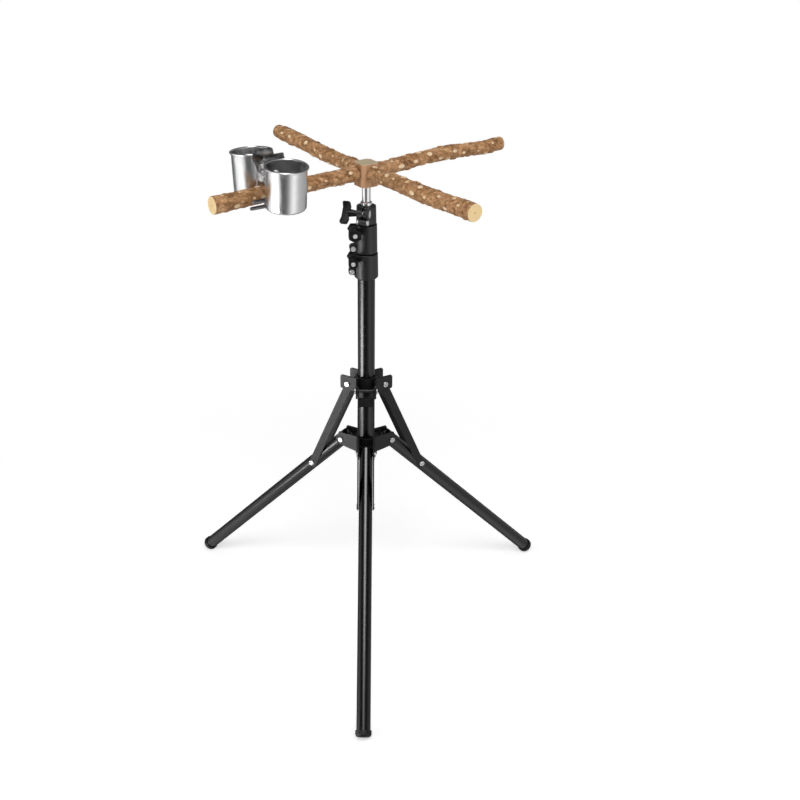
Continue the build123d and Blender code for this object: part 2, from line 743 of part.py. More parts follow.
def cup():
    """A drawn steel cup with a rounded foot and a rolled rim, upright beside its plate."""
    low = cup_rim_rise - cup_height
    outer = extrude(Circle(cup_radius), amount=cup_height - cup_rim_bead)
    outer = fillet(outer.faces().sort_by(Axis.Z)[0].edges(), cup_corner)
    inner_radius = cup_radius - cup_wall
    inner = Pos(0, 0, cup_wall) * extrude(Circle(inner_radius), amount=cup_height)
    inner = fillet(inner.faces().sort_by(Axis.Z)[0].edges(), cup_corner - cup_wall)
    rim = Pos(0, 0, cup_height - cup_rim_bead) * Torus(cup_radius + cup_rim_bead - cup_wall, cup_rim_bead)
    shell = Pos(0, cup_axis_side, low) * (outer - inner + rim)
    for rise in cup_rivet_rises:
        shell -= cup_rivet_bore(rise)
    return shell


def cup_rivets():
    """Rivets through a cup's wall and its plate, with a domed head at each end."""
    outside = plate_side - clip_thickness / 2
    inner_radius = cup_radius - cup_wall
    head_radius = cup_rivet_head_diameter / 2
    inside = cup_axis_side - sqrt(inner_radius * inner_radius - head_radius * head_radius)
    rivets = []
    for rise in cup_rivet_rises:
        rivet = rod(cup_rivet_diameter / 2, outside, inside)
        heads = (
            rod(head_radius, outside - cup_rivet_head_height, outside),
            rod(head_radius, inside, inside + cup_rivet_head_height),
        )
        low_head = fillet(heads[0].edges().group_by(Axis.Z)[0], cup_rivet_head_height / 2)
        high_head = fillet(heads[1].edges().group_by(Axis.Z)[-1], cup_rivet_head_height / 2)
        rivets.append(Pos(0, 0, rise) * Rot(-90, 0, 0) * (rivet + low_head + high_head))
    return Compound(rivets)


pin_place = Pos(0, 0, clip_pin_rise)
near_tilt = clip_place * pin_place * Rot(-clip_tilt, 0, 0) * Pos(0, 0, -clip_pin_rise)
far_tilt = clip_place * Rot(0, 0, 180) * pin_place * Rot(-clip_tilt, 0, 0) * Pos(0, 0, -clip_pin_rise)
near_ear_inner = clip_ear_inner_half
far_ear_inner = clip_ear_inner_half + clip_thickness + ear_gap
cup_shell = cup()
rivet_pair = cup_rivets()
nodes["clip_plate_front"] = near_tilt * clip_plate(near_ear_inner)
nodes["clip_plate_rear"] = far_tilt * clip_plate(far_ear_inner)
nodes["cup_front"] = near_tilt * cup_shell
nodes["cup_rear"] = far_tilt * cup_shell
nodes["cup_rivets_front"] = near_tilt * rivet_pair
nodes["cup_rivets_rear"] = far_tilt * rivet_pair

# The clip's pin with its two heads
pin_half = far_ear_inner + clip_thickness + ear_gap
clip_pin = rod(clip_pin_diameter / 2, -pin_half, pin_half)
for side in (1, -1):
    head = Cylinder(clip_pin_head_diameter / 2, clip_pin_head_height)
    clip_pin += Pos(0, 0, side * (pin_half + clip_pin_head_height / 2)) * head
nodes["clip_pin"] = clip_place * pin_place * Rot(0, 90, 0) * clip_pin


# The clip's spring: a coil round the pin with an arm up inside each handle
spring_turns = spring_whole_turns + (180 - spring_arm_lean - spring_arm_lean) / 360
spring_height = spring_pitch * spring_turns
spring_coil = Helix(spring_pitch, spring_height, spring_mean_radius, center=(0, 0, -spring_height / 2))
first_arm = Line(spring_coil @ 0 - spring_coil % 0 * spring_arm_length, spring_coil @ 0)
last_arm = Line(spring_coil @ 1, spring_coil @ 1 + spring_coil % 1 * spring_arm_length)
spring_path = Wire([first_arm, spring_coil, last_arm])
wire_plane = Plane(origin=spring_path @ 0, z_dir=spring_path % 0)
spring = sweep(wire_plane * Circle(spring_wire / 2), path=spring_path)
coil_start = 180 + spring_arm_lean + 90
nodes["clip_spring"] = clip_place * pin_place * Rot(0, 90, 0) * Rot(0, 0, coil_start) * spring


def least_coil_gap():
    """The least space between stretches of the spring's wire that aren't neighbours."""
    steps = 60 * spring_whole_turns
    points = [spring_path @ (k / steps) for k in range(steps + 1)]
    apart = ceil(steps * spring_mean_radius * 2 / spring_path.length)
    gaps = [
        (points[a] - points[b]).length
        for a in range(len(points))
        for b in range(a + apart, len(points))
    ]
    return min(gaps) - spring_wire


print("spring volume share", round(spring.volume / (pi * spring_wire**2 / 4 * spring_path.length), 4))
print("least gap in the spring", round(least_coil_gap(), 3))

# Everything moves along Y so that the origin is on the floor below the stand's middle
whole = Compound(list(nodes.values())).bounding_box()
middle_y = (whole.min.Y + whole.max.Y) / 2
middle_x = (whole.min.X + whole.max.X) / 2
shift = Pos(-middle_x, -middle_y, 0)
for name, shape in nodes.items():
    export_step(shift * shape, f"parts/{name}.step")

print("nodes", len(nodes), "shift", round(-middle_x, 3), round(-middle_y, 3))
print("leg drop angle", round(degrees(leg_drop_angle), 3), "fold", round(fold_degrees, 3))
print("slider pivot z", round(slider_pivot_z, 3), "travel", round(folded_slider_z - slider_pivot_z, 3))
print("stay swing", round(degrees(folded_stay_angle - stay_angle), 3))
for label, (centre, end) in knob_ends.items():
    print("knob", label, [round(v, 3) for v in centre], [round(v, 4) for v in (end - centre).normalized()])
foot_x = leg_pivot_radius + foot_round_along * leg_cos - foot_round_centre * leg_sin
print("foot face at radius", round(foot_x, 3))
for label, tilt_place in (("front", near_tilt), ("rear", far_tilt)):
    ends = [tilt_place * Vertex(0, cup_axis_side, cup_rim_rise - h) for h in (0, cup_height)]
    print("cup", label, [[round(v, 3) for v in end.center()] for end in ends])
pin_centre = clip_place * pin_place * Vertex(0, 0, 0)
print("clip pin", [round(v, 3) for v in pin_centre.center()], "azimuth", round(clip_azimuth, 3))
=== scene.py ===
import json
from math import atan2, cos, hypot, pi, radians, sin
from random import Random

import bpy
from mathutils import Matrix, Vector


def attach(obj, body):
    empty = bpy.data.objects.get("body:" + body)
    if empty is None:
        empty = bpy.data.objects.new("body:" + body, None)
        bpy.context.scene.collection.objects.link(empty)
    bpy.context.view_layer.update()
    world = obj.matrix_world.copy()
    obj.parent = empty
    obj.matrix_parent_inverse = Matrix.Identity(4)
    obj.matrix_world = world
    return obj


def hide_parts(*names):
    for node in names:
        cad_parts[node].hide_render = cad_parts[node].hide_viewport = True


# A perch on a folding tripod: telescoping column, wooden block with four branches, and a sprung clip with
# two steel cups. Lengths are in metres, Z is up, and azimuths are in degrees from X towards Y.

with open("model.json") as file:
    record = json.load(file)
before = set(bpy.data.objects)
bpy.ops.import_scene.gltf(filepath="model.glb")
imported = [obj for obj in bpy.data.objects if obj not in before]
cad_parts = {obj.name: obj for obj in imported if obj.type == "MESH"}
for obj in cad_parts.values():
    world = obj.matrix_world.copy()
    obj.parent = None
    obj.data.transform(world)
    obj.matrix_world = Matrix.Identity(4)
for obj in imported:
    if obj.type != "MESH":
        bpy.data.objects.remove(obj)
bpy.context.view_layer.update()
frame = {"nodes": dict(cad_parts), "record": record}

MM = 0.001
COLUMN_Y = 0.06367
LEG_AZIMUTHS = (-90, 30, 150)
BRANCH_AZIMUTHS = (34.8, 124.8, 214.8, 304.8)
BRANCH_AXIS_Z = 0.7183
BRANCH_START = 0.0138
BRANCH_END = 0.236


# Finishes: shader maths written as expressions
class Term:
    """A shader socket, on which Python's operators add Math nodes."""

    def __init__(self, finish, socket):
        self.finish = finish
        self.socket = socket

    def __add__(self, other):
        return self.finish.maths("ADD", self, other)

    def __radd__(self, other):
        return self.finish.maths("ADD", other, self)

    def __sub__(self, other):
        return self.finish.maths("SUBTRACT", self, other)

    def __rsub__(self, other):
        return self.finish.maths("SUBTRACT", other, self)

    def __mul__(self, other):
        return self.finish.maths("MULTIPLY", self, other)

    def __truediv__(self, other):
        return self.finish.maths("DIVIDE", self, other)

    def __pow__(self, other):
        return self.finish.maths("POWER", self, other)


# The colour sockets of a Mix node, by number because others share their names
MIX_FACTOR, MIX_A, MIX_B, MIX_RESULT = 0, 6, 7, 2


class Finish:
    """A procedural finish, put together from nodes by plain calls."""

    def __init__(self, name, owner=None):
        self.material = owner or bpy.data.materials.new(name)
        self.material.use_nodes = True
        self.tree = self.material.node_tree
        self.tree.nodes.clear()

    def add(self, kind, settings=None, inputs=None, output=0):
        """A node of that kind with its settings, ramp stops, and the values or links of its sockets."""
        node = self.tree.nodes.new("ShaderNode" + kind)
        for name, value in (settings or {}).items():
            if name == "stops":
                self.set_stops(node.color_ramp, value)
            else:
                setattr(node, name, value)
        for name, value in (inputs or {}).items():
            if isinstance(value, Term):
                self.tree.links.new(value.socket, node.inputs[name])
            else:
                node.inputs[name].default_value = value
        return Term(self, node.outputs[output])

    def set_stops(self, ramp, stops):
        ramp.elements[0].position, ramp.elements[1].position = stops[0][0], stops[-1][0]
        ramp.elements[0].color = (*stops[0][1], 1)
        ramp.elements[-1].color = (*stops[-1][1], 1)
        for place, colour in stops[1:-1]:
            ramp.elements.new(place).color = (*colour, 1)

    def maths(self, operation, *values):
        return self.add("Math", {"operation": operation}, dict(enumerate(values)))

    def limited(self, value, low=0.0, high=1.0):
        """value from low to high becomes 0 to 1, and no more."""
        return self.add("MapRange", {}, {"Value": value, "From Min": low, "From Max": high})

    def place(self, turn=(0, 0, 0), move=(0, 0, 0), scale=(1, 1, 1)):
        """Object coordinates, turned, moved and scaled."""
        inputs = {"Vector": self.add("TexCoord", output="Object"), "Rotation": turn}
        return self.add("Mapping", {}, {**inputs, "Location": move, "Scale": scale})

    def axis(self, point, letter):
        """The X, Y or Z of a point."""
        return self.add("SeparateXYZ", {}, {"Vector": point}, output=letter)

    def noise(self, point, scale, detail=4.0, roughness=0.55, distortion=0.0):
        inputs = {"Vector": point, "Scale": scale, "Detail": detail, "Roughness": roughness}
        return self.add("TexNoise", {}, {**inputs, "Distortion": distortion})

    def cells(self, point, scale, feature="F1", output="Distance"):
        inputs = {"Vector": point, "Scale": scale}
        return self.add("TexVoronoi", {"feature": feature}, inputs, output=output)

    def ramp(self, value, *stops):
        return self.add("ValToRGB", {"stops": stops}, {"Fac": value})

    def mixed(self, mask, a, b):
        """Colour a where mask is 0 and b where it is 1."""
        a, b = (colour if isinstance(colour, Term) else (*colour, 1) for colour in (a, b))
        values = {MIX_FACTOR: mask, MIX_A: a, MIX_B: b}
        return self.add("Mix", {"data_type": "RGBA"}, values, output=MIX_RESULT)

    def bumped(self, height, distance, strength):
        return self.add("Bump", {}, {"Height": height, "Distance": distance, "Strength": strength})

    def glow(self, level):
        return self.add("Emission", {}, {"Color": (1, 1, 1, 1), "Strength": level})

    def background(self, colour, level):
        return self.add("Background", {}, {"Color": colour, "Strength": level})

    def blend(self, mask, first, second):
        """Shader first where mask is 0 and second where it is 1."""
        return self.add("MixShader", {}, {0: mask, 1: first, 2: second})

    def surface(self, **values):
        """Ends the finish with its shader. The names are the sockets' own, with underscores for spaces."""
        sockets = {name.replace("_", " ").title().replace("Ior", "IOR"): v for name, v in values.items()}
        self.add_output(self.add("BsdfPrincipled", {}, sockets))
        return self.material

    def add_output(self, shader, kind="Material"):
        out = self.tree.nodes.new("ShaderNodeOutput" + kind)
        self.tree.links.new(shader.socket, out.inputs["Surface"])


def powder_coat(name):
    """Satin black coating on a steel tube, with faint rub marks along it."""
    f = Finish(name)
    point = f.place()
    grain = f.noise(point, scale=900, detail=2)
    cloud = f.noise(point, scale=24, detail=3)
    rub = f.noise(f.place(scale=(1, 1, 0.06)), scale=420, detail=2)
    worn = f.limited(rub * cloud, low=0.34, high=0.48)
    coat, rubbed = (0.0022, 0.0022, 0.0024), (0.0055, 0.0055, 0.0058)
    return f.surface(
        base_color=f.mixed(worn, coat, rubbed),
        roughness=0.2 + cloud * 0.05 + grain * 0.04,
        normal=f.bumped(grain, distance=0.02 * MM, strength=0.12),
        specular_ior_level=0.42,
    )


def moulded_plastic(name, rough, tone, shine=0.5):
    """Black glass-filled plastic with a fine moulded grain."""
    f = Finish(name)
    point = f.place()
    grain = f.noise(point, scale=1500, detail=2, roughness=0.6)
    pits = f.cells(point, scale=1900)
    cloud = f.noise(point, scale=60, detail=3)
    dark, light = (tone * 0.8, tone * 0.8, tone * 0.84), (tone * 1.25, tone * 1.25, tone * 1.3)
    return f.surface(
        base_color=f.mixed(cloud, dark, light),
        roughness=rough + grain * 0.12,
        normal=f.bumped(grain * 0.7 + pits * 0.3, distance=0.05 * MM, strength=0.4),
        specular_ior_level=shine,
    )


def painted_steel(name):
    """Black paint on pressed steel."""
    f = Finish(name)
    point = f.place()
    peel = f.noise(point, scale=420, detail=2)
    cloud = f.noise(point, scale=40, detail=3)
    dark, light = (0.009, 0.009, 0.0095), (0.015, 0.015, 0.0155)
    return f.surface(
        base_color=f.mixed(cloud, dark, light),
        roughness=0.36 + peel * 0.12,
        normal=f.bumped(peel, distance=0.06 * MM, strength=0.4),
        specular_ior_level=0.2,
    )


def foot_rubber():
    """Matt black rubber with a little dust on it."""
    f = Finish("foot_rubber")
    point = f.place()
    grain = f.noise(point, scale=1100, detail=3, roughness=0.65)
    dust = f.limited(f.noise(point, scale=90, detail=4), low=0.45, high=0.75)
    clean, dusty = (0.0035, 0.0035, 0.0035), (0.008, 0.0078, 0.0075)
    return f.surface(
        base_color=f.mixed(dust, clean, dusty),
        roughness=0.5 + dust * 0.15,
        normal=f.bumped(grain, distance=0.08 * MM, strength=0.5),
        specular_ior_level=0.3,
    )


def zinc_plate():
    """Zinc-plated steel of rivets, nuts and screws."""
    f = Finish("zinc_plate")
    point = f.place()
    spangle = f.cells(point, scale=1400)
    smear = f.noise(point, scale=300, detail=3)
    dull, bright = (0.70, 0.70, 0.69), (0.86, 0.86, 0.85)
    return f.surface(
        base_color=f.mixed(smear, dull, bright),
        metallic=0.45,
        roughness=0.3 + smear * 0.14,
        normal=f.bumped(spangle, distance=0.02 * MM, strength=0.2),
    )


# How far from the middle plane the front pair's shafts are painted black: partly grease, partly painted
# shade between the plates
SHADE_AND_GREASE_REACH, ZINC_FROM = 12.5 * MM, 12.8 * MM


def pin_steel():
    """Zinc-plated heads, with the front pair's shafts painted black between the plates: partly grease,
    partly painted shade.
    """
    f = Finish("pin_steel")
    point = f.place()
    smear = f.noise(point, scale=300, detail=3)
    aside = f.maths("ABSOLUTE", f.axis(point, "X"))
    # Painted shade, with some grease: the front pair's shafts turn black where the plates shade them
    shade_and_grease_mask = 1 - f.limited(aside, SHADE_AND_GREASE_REACH, ZINC_FROM)
    dull, bright, black = (0.46, 0.46, 0.455), (0.62, 0.62, 0.61), (0.012, 0.012, 0.0125)
    return f.surface(
        base_color=f.mixed(shade_and_grease_mask, f.mixed(smear, dull, bright), black),
        metallic=1 - shade_and_grease_mask,
        roughness=0.26 + smear * 0.14 + shade_and_grease_mask * 0.2,
        normal=f.bumped(smear, distance=0.02 * MM, strength=0.2),
    )


def chrome_plate():
    """Chromed tube with faint lines round it."""
    f = Finish("chrome_plate")
    smear = f.noise(f.place(), scale=150, detail=3)
    lines = f.noise(f.place(scale=(0.3, 0.3, 12)), scale=160, detail=2)
    dull, bright = (0.72, 0.725, 0.73), (0.82, 0.82, 0.825)
    return f.surface(
        base_color=f.mixed(smear, dull, bright),
        metallic=1.0,
        roughness=0.08 + lines * 0.08,
        normal=f.bumped(lines, distance=0.01 * MM, strength=0.15),
    )


# The heights between which the clip's plates turn from bright to a painted dark reflection
BRIGHT_BELOW, PAINTED_DARK_ABOVE = 0.744, 0.753


def clip_sheet():
    """Bright sheet whose handles, above the shoulder, are painted dark as the dark reflection of the bent
    steel.
    """
    f = Finish("clip_steel")
    point = f.place()
    smear = f.noise(point, scale=90, detail=4)
    lines = f.noise(f.place(scale=(1, 1, 0.05)), scale=1300, detail=2, roughness=0.6)
    height = f.axis(point, "Z") + (smear - 0.5) * 0.012
    handle = f.limited(height, BRIGHT_BELOW, PAINTED_DARK_ABOVE)
    bright = f.mixed(smear, (0.60, 0.60, 0.605), (0.74, 0.74, 0.745))
    # Painted reflection: the handles' dark tones stand in for what the bent steel reflects
    dark = f.mixed(f.limited(smear, low=0.4, high=0.62), (0.10, 0.10, 0.102), (0.34, 0.34, 0.34))
    return f.surface(
        base_color=f.mixed(handle, bright, dark),
        metallic=1.0,
        roughness=0.2 + lines * 0.12 + handle * 0.06,
        normal=f.bumped(lines, distance=0.02 * MM, strength=0.22),
    )


def drawn_steel(name, rough):
    """Bright stainless sheet with very fine upright lines and a few smears."""
    f = Finish(name)
    lines = f.noise(f.place(scale=(1, 1, 0.03)), scale=1500, detail=2, roughness=0.6)
    smear = f.noise(f.place(), scale=70, detail=4)
    dull, bright = (0.66, 0.66, 0.665), (0.78, 0.78, 0.785)
    return f.surface(
        base_color=f.mixed(smear, dull, bright),
        metallic=1.0,
        roughness=rough + lines * 0.03 + smear * 0.03,
        normal=f.bumped(lines, distance=0.01 * MM, strength=0.02),
    )


def oiled_wire(name, dark, bright):
    """Oiled steel wire, between a dark and a bright tone."""
    f = Finish(name)
    smear = f.noise(f.place(), scale=500, detail=3)
    return f.surface(
        base_color=f.mixed(smear, dark, bright),
        metallic=1.0,
        roughness=0.26 + smear * 0.12,
        normal=f.bumped(smear, distance=0.02 * MM, strength=0.2),
    )


def along_branch(azimuth, rise=0.0):
    """The turn and move that put X along a branch, and Y and Z across it, from the middle of the block."""
    turn = Matrix.Rotation(radians(-azimuth), 3, "Z")
    return (0, 0, radians(-azimuth)), tuple(turn @ Vector((0, -COLUMN_Y, -BRANCH_AXIS_Z - rise)))


# Where the rings of the block's end grain have their centre, how close they lie in radians per metre,
# and how far they wander in radians
HEART_X, HEART_Y = 0.03, -0.022
BLOCK_RING_RATE, BLOCK_RING_WANDER = 3600, 5


def block_wood():
    """Planed softwood: end grain of a greenish beige on top, pinkish tan sides with upright grain."""
    f = Finish("block_wood")
    turn, move = along_branch(BRANCH_AZIMUTHS[0])
    point = f.place(turn, move)
    x, y = f.axis(point, "X") - HEART_X, f.axis(point, "Y") - HEART_Y
    away = (x * x + y * y) ** 0.5
    wander = f.noise(point, scale=60, detail=3) * BLOCK_RING_WANDER
    rings = f.maths("SINE", away * BLOCK_RING_RATE + wander)
    fibre = f.noise(f.place(turn, scale=(1, 1, 0.09)), scale=700, detail=4, roughness=0.65)
    streak = f.noise(f.place(turn, scale=(1, 1, 0.12)), scale=190, detail=3)
    side = f.ramp(
        streak * 0.6 + fibre * 0.4,
        (0.3, (0.34, 0.155, 0.07)),
        (0.5, (0.56, 0.30, 0.15)),
        (0.7, (0.74, 0.46, 0.27)),
    )
    top = f.ramp(rings * 0.25 + 0.3 + fibre * 0.4, (0.2, (0.45, 0.36, 0.23)), (0.8, (0.58, 0.49, 0.33)))
    upward = f.axis(f.add("NewGeometry", output="Normal"), "Z")
    return f.surface(
        base_color=f.mixed(f.limited(upward, low=0.5, high=0.9), side, top),
        roughness=0.62 + fibre * 0.14,
        normal=f.bumped(fibre, distance=0.12 * MM, strength=0.5),
    )


# How fine the scales of the bark are
BARK_SCALES = 260


def bark(number):
    """Rough bark: scales of tan, peach and brown along the limb, dark gaps between them and pale flecks."""
    f = Finish(f"bark_{number}")
    turn, move = along_branch(BRANCH_AZIMUTHS[number - 1])
    point = f.place(turn, move)
    lumps = f.noise(f.place(turn, move, (0.45, 1, 1)), scale=120, detail=5, roughness=0.6, distortion=0.4)
    fine = f.noise(point, scale=620, detail=4, roughness=0.65)
    drift = f.add("TexNoise", {}, {"Vector": point, "Scale": 300, "Detail": 2.0}, output="Color")
    pushed = f.add("VectorMath", {"operation": "SCALE"}, {0: drift, "Scale": 2.2 * MM})
    scaly = f.add("VectorMath", {"operation": "ADD"}, {0: f.place(turn, move, (0.55, 1, 1)), 1: pushed})
    shade = f.add("SeparateColor", {}, {"Color": f.cells(scaly, BARK_SCALES, output="Color")})
    gaps = f.cells(scaly, BARK_SCALES, "DISTANCE_TO_EDGE")
    crack = 1 - f.limited(gaps + (fine - 0.5) * 0.14, low=0.0, high=0.1)
    tone = shade * 0.17 + lumps * 0.6 + fine * 0.28 + 0.01
    brown = f.ramp(
        tone,
        (0.32, (0.10, 0.045, 0.018)),
        (0.45, (0.31, 0.148, 0.058)),
        (0.57, (0.52, 0.275, 0.122)),
        (0.7, (0.76, 0.45, 0.225)),
        (0.84, (0.94, 0.71, 0.44)),
    )
    pinkish, pale, gap_brown = (0.70, 0.42, 0.25), (0.93, 0.71, 0.47), (0.075, 0.036, 0.017)
    worn = f.limited(f.noise(point, scale=70, detail=4, roughness=0.6), low=0.52, high=0.68)
    skin = f.mixed(worn * 0.4, brown, pinkish)
    flecks = f.noise(f.place(turn, move, (0.5, 1, 1)), scale=300, detail=3, roughness=0.6)
    flecked = f.mixed(f.limited(flecks, low=0.64, high=0.71) * 0.6, skin, pale)
    height = lumps * 0.4 + fine * 0.25 + f.limited(gaps, low=0.0, high=0.14) * 0.45
    return f.surface(
        base_color=f.mixed(crack * 0.42, flecked, gap_brown),
        roughness=0.8 + fine * 0.12,
        normal=f.bumped(height, distance=0.9 * MM, strength=0.7),
    )


# How close the rings of a sawn end lie, in radians per metre
CUT_RING_RATE = 4200


def cut_wood(number, rise):
    """The sawn end of a branch: pale yellow wood with faint rings and a dark pith."""
    f = Finish(f"cut_wood_{number}")
    turn, move = along_branch(BRANCH_AZIMUTHS[number - 1], rise)
    point = f.place(turn, move)
    y, z = (f.axis(point, letter) for letter in "YZ")
    fine = f.noise(point, scale=500, detail=3)
    away = (y * y + z * z) ** 0.5 + (f.noise(point, scale=120, detail=3) - 0.5) * (1.6 * MM)
    rings = f.maths("SINE", away * CUT_RING_RATE)
    heart = f.ramp(
        rings * 0.3 + 0.35 + fine * 0.3,
        (0.15, (0.99, 0.67, 0.31)),
        (0.85, (1.0, 0.81, 0.46)),
    )
    pith, pith_brown = 1 - f.limited(away, low=0.6 * MM, high=1.6 * MM), (0.5, 0.27, 0.1)
    return f.surface(
        base_color=f.mixed(pith * 0.6, heart, pith_brown),
        roughness=0.66 + fine * 0.1,
        normal=f.bumped(rings * 0.3 + fine, distance=0.1 * MM, strength=0.5),
    )


def knot_wood():
    """The pale heart of a trimmed spine."""
    f = Finish("knot_wood")
    fine = f.noise(f.place(), scale=800, detail=3)
    patch = f.noise(f.place(), scale=140, detail=2)
    colour = f.ramp(
        fine * 0.5 + patch * 0.5,
        (0.35, (0.66, 0.42, 0.22)),
        (0.5, (0.88, 0.66, 0.42)),
        (0.66, (0.96, 0.80, 0.56)),
    )
    normal = f.bumped(fine, distance=0.2 * MM, strength=0.5)
    return f.surface(base_color=colour, roughness=0.7, normal=normal)


TUBE_BLACK = powder_coat("tube_black")
LEG_BLACK = powder_coat("leg_black")
BRACKET_BLACK = moulded_plastic("bracket_black", rough=0.4, tone=0.009, shine=0.27)
COLLAR_BLACK = moulded_plastic("collar_black", rough=0.34, tone=0.010)
KNOB_BLACK = moulded_plastic("knob_black", rough=0.36, tone=0.005, shine=0.25)
INSIDE_BLACK = moulded_plastic("inside_black", rough=0.5, tone=0.012)
STAY_BLACK = painted_steel("stay_black")
FOOT_RUBBER = foot_rubber()
ZINC = zinc_plate()
PIN_STEEL = pin_steel()
CHROME = chrome_plate()
SPRING_WIRE = oiled_wire("spring_wire", dark=(0.34, 0.34, 0.35), bright=(0.5, 0.5, 0.51))
PRONG_STEEL = oiled_wire("prong_steel", dark=(0.10, 0.10, 0.102), bright=(0.26, 0.26, 0.265))
BLOCK_WOOD = block_wood()
KNOT_WOOD = knot_wood()
CUP_STEEL = drawn_steel("cup_steel", rough=0.22)
CLIP_STEEL = clip_sheet()
EDGE_STEEL = drawn_steel("edge_steel", rough=0.29)
# Painted shade for the grooves sunk in the pin and rivet heads
GROOVE_SHADE = moulded_plastic("groove_painted_shade", rough=0.5, tone=0.02)


# Modelling by hand: small steps round Blender's own operators.
# FACING is the least cosine at which a face counts as facing a direction.
FACING = 0.9
SMOOTH_DEGREES = 32


def deselect():
    bpy.ops.object.select_all(action="DESELECT")


def hold(piece):
    """Makes one piece the only one selected, and active."""
    deselect()
    piece.select_set(True)
    bpy.context.view_layer.objects.active = piece


def join(piece, others):
    """Joins the other pieces to one."""
    hold(piece)
    for other in others:
        other.select_set(True)
    bpy.ops.object.join()


def pick(piece, test):
    """In edit mode, selects the faces whose middle and normal pass the test."""
    bpy.ops.mesh.select_mode(type="FACE")
    bpy.ops.mesh.select_all(action="DESELECT")
    bpy.ops.object.mode_set(mode="OBJECT")
    for face in piece.data.polygons:
        face.select = test(face.center, face.normal)
    bpy.ops.object.mode_set(mode="EDIT")


def edit(piece):
    hold(piece)
    bpy.ops.object.mode_set(mode="EDIT")
    bpy.ops.mesh.select_all(action="SELECT")


def leave():
    bpy.ops.object.mode_set(mode="OBJECT")


def leave_outward():
    """Turns every face outwards, and leaves edit mode."""
    bpy.ops.mesh.select_all(action="SELECT")
    bpy.ops.mesh.normals_make_consistent(inside=False)
    leave()


def extrude(step, size, centre=None):
    """Carries the selected faces on by a step, as a new ring, and scales the ring about a centre."""
    bpy.ops.mesh.extrude_region_move(TRANSFORM_OT_translate={"value": step})
    about = {} if centre is None else {"center_override": centre}
    bpy.ops.transform.resize(value=size, **about)


def settle(piece):
    """Puts the piece's place, turn and size into its mesh."""
    hold(piece)
    bpy.ops.object.transform_apply(location=True, rotation=True, scale=True)


def modified(piece, kind, **settings):
    """Adds a modifier and applies it."""
    hold(piece)
    modifier = piece.modifiers.new(kind.lower(), kind)
    for name, value in settings.items():
        setattr(modifier, name, value)
    bpy.ops.object.modifier_apply(modifier=modifier.name)


def smooth(piece, degrees):
    hold(piece)
    bpy.ops.object.shade_smooth_by_angle(angle=radians(degrees))


def finished(piece, name, body, slot, *nodes):
    """Names a finished piece, sets it on the body that it rides on, and hides the nodes that it stands for.
    """
    piece.name = name
    piece.data.name = name
    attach(piece, body)
    if nodes:
        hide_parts(*nodes)
    return piece


def body_of(node):
    return next(body for body, names in frame["record"]["behaviour"]["bodies"].items() if node in names)


SLOTS = {row["node"]: row["material_slot"] for row in frame["record"]["subparts"]}
MERGE_DISTANCE = 0.004 * MM


def cad_copy(node, name, finish):
    """A copy of a node's solid with its corners merged and its own shading cleared, in one finish."""
    piece = bpy.data.objects.new(name, frame["nodes"][node].data.copy())
    bpy.context.scene.collection.objects.link(piece)
    edit(piece)
    bpy.ops.mesh.remove_doubles(threshold=MERGE_DISTANCE)
    leave()
    if piece.data.has_custom_normals:
        bpy.ops.mesh.customdata_custom_splitnormals_clear()
    piece.data.materials.clear()
    piece.data.materials.append(finish)
    return piece


# What counts as the flat face of a pin's or rivet's head, and how near to its middle the face's own lies
HEAD_LEAST_CORNERS = 10
HEAD_MOST_TILT = 0.2
HEAD_NEAR = 0.05 * MM
# From a head's rim to its middle, as shares of its radius: the radius of each ring and its rise
HEAD_STEPS = ((0.74, 0), (0.68, -0.16), (0.5, 0), (0.44, 0.1))
# Where the faces painted with the groove's shade lie, as shares of a head's radius
SHADED_DEPTHS = (0.04, 0.2)
SHADED_RADII = (0.45, 0.73)


def groove_heads(piece, least_area):
    """Sinks a ring round the middle of every flat round head, painted dark as the groove's shade, and
    leaves a low boss inside it.
    """
    piece.data.materials.append(GROOVE_SHADE)
    heads = [
        (face.center.copy(), face.normal.copy(), (face.area / pi) ** 0.5)
        for face in piece.data.polygons
        if abs(face.normal.z) < HEAD_MOST_TILT
        and face.area > least_area
        and len(face.vertices) >= HEAD_LEAST_CORNERS
    ]
    for centre, out, wide in heads:
        edit(piece)
        pick(piece, lambda at, normal: (at - centre).length < HEAD_NEAR and normal.dot(out) > FACING)
        level, share = centre.copy(), 1
        for narrower, rise in HEAD_STEPS:
            level += out * rise * wide
            extrude(out * rise * wide, (narrower / share,) * 3, level)
            share = narrower
        leave()
        for face in piece.data.polygons:
            away = face.center - centre
            height = away.dot(out)
            depth, spread = -height / wide, (away - out * height).length / wide
            # The groove's faces take the dark finish: painted shade
            if SHADED_DEPTHS[0] < depth < SHADED_DEPTHS[1] and SHADED_RADII[0] < spread < SHADED_RADII[1]:
                face.material_index = 1


FLAT_ANGLE = radians(1)
PLATE_EDGE = 0.4 * MM
PLATE_EDGE_ANGLE = radians(40)


def dressed(node, finish, degrees=SMOOTH_DEGREES, edge_finish=None, head_area=0.0):
    """A merged, smoothly shaded copy of a node.

    edge_finish rounds its edges and colours them, and head_area grooves its flat heads above that area.
    """
    piece = cad_copy(node, node + "_dressed", finish)
    if edge_finish or head_area:
        edit(piece)
        bpy.ops.mesh.dissolve_limited(angle_limit=FLAT_ANGLE)
        leave()
    if head_area:
        groove_heads(piece, head_area)
    if edge_finish:
        piece.data.materials.append(edge_finish)
        rounding = {"width": PLATE_EDGE, "segments": 2, "material": 1}
        modified(piece, "BEVEL", limit_method="ANGLE", angle_limit=PLATE_EDGE_ANGLE, **rounding)
    smooth(piece, degrees)
    return finished(piece, node + "_dressed", body_of(node), SLOTS[node], node)


